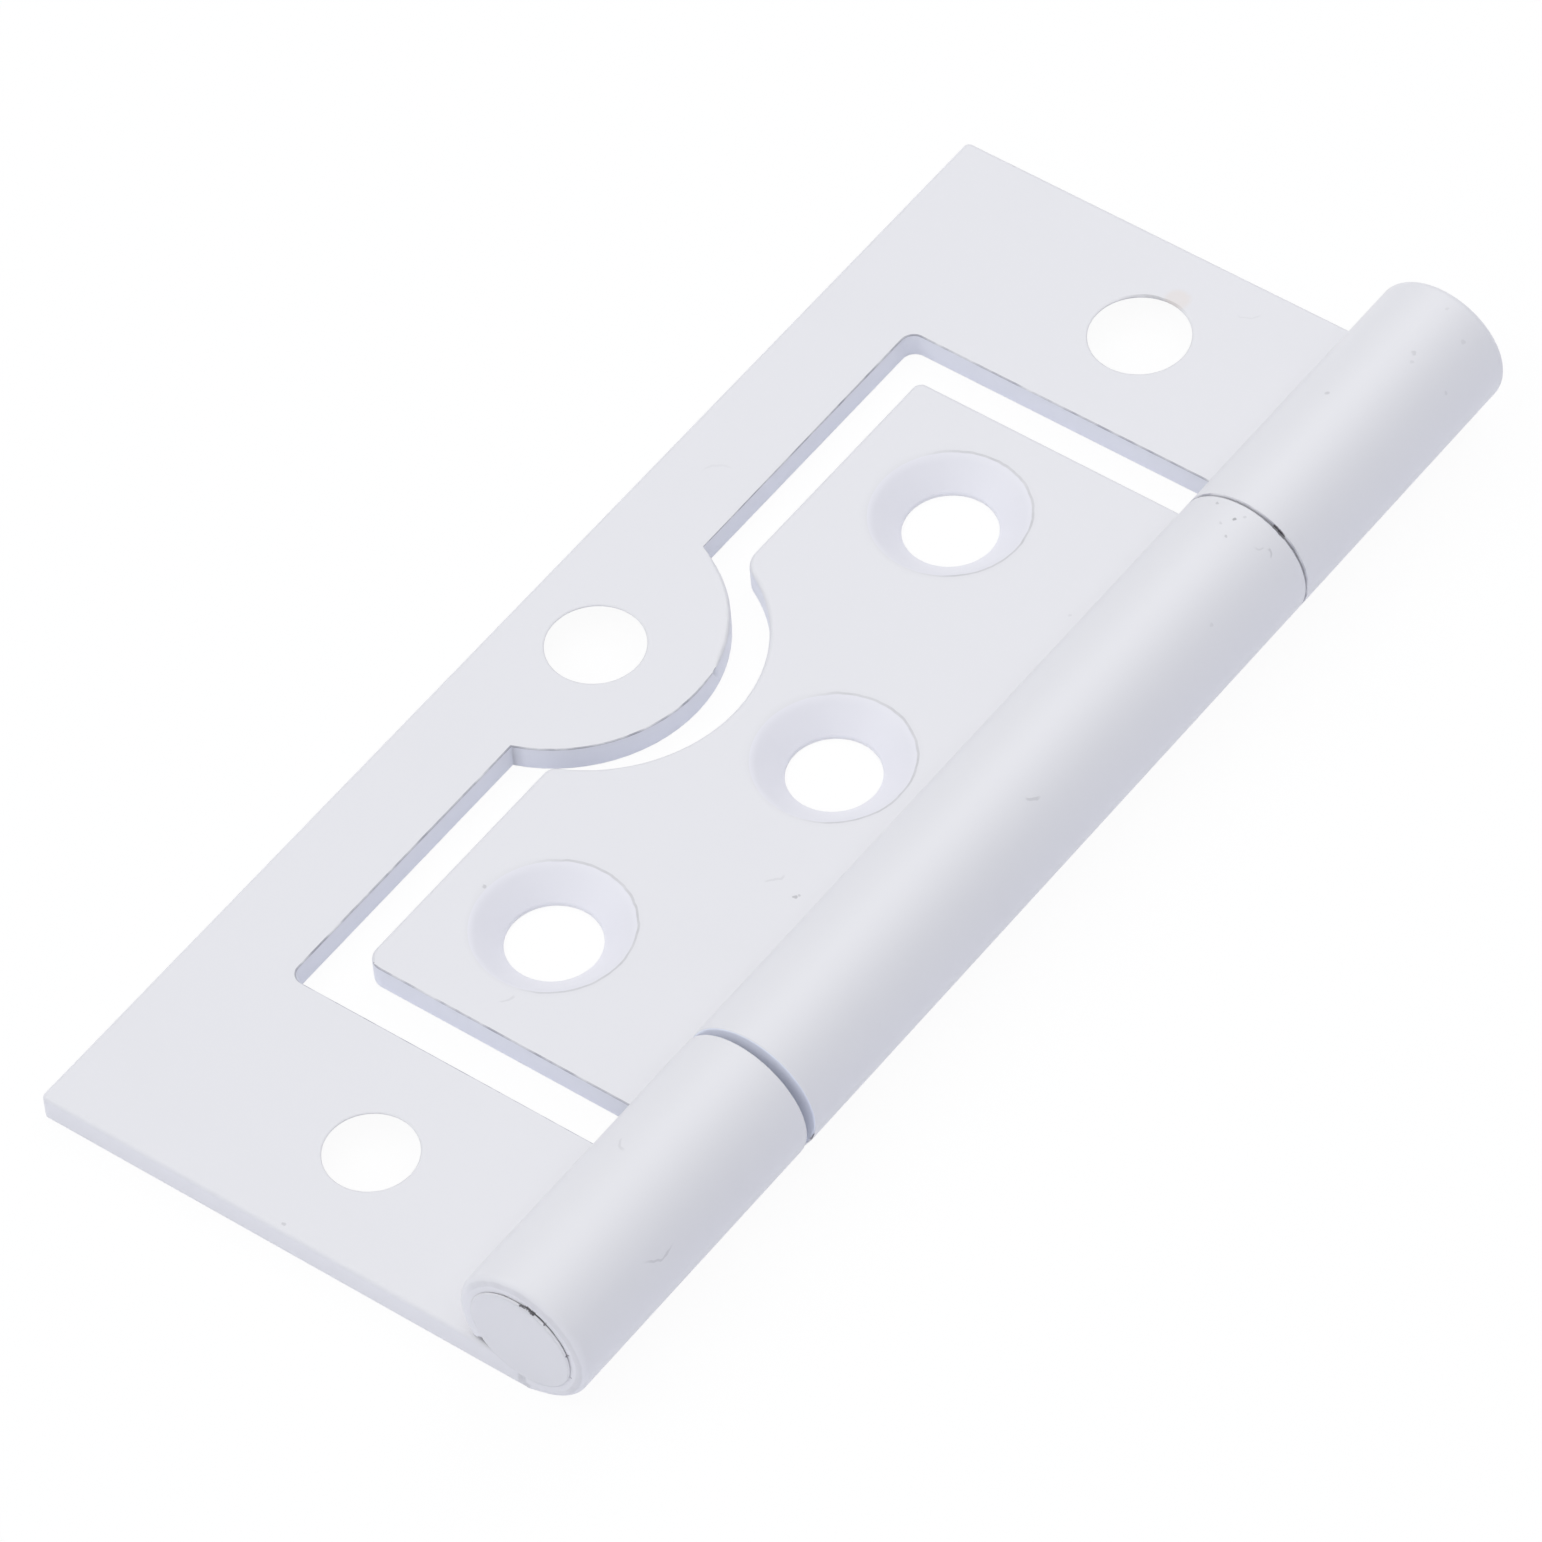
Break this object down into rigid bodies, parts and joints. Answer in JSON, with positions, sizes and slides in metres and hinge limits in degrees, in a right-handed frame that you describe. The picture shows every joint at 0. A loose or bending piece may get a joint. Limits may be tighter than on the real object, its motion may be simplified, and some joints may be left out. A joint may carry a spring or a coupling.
{
  "type": "flush hinge",
  "caption": "Flush hinge: a countersunk inner leaf nests in the cut-out of the outer leaf and swings about a riveted pin.",
  "frame": {"origin": "the middle of the nested hinge's footprint, on the plane of the leaves' backs", "axes": "+X along the pin towards the end where the barrel stands 0.45 mm past the leaf; +Y from the pin to the outer leaf's free edge; +Z from the backs to the side the barrel stands out on"},
  "size_m": [0.0758, 0.0326, 0.0074],
  "materials": {
    "outer_leaf": "white powder coat, satin",
    "inner_leaf": "white powder coat, satin",
    "hinge_pin": "white powder coat, satin"
  },
  "bodies": {
    "frame_side": {"outer_leaf": "outer_leaf", "hinge_pin": "hinge_pin"},
    "door_side": {"inner_leaf": "inner_leaf"}
  },
  "joints": [
    {"name": "leaf_hinge", "type": "hinge", "parent": "frame_side", "child": "door_side", "pos_m": [0, -0.01265, 0.0037], "axis": [-1, 0, 0], "continuous": true}
  ]
}
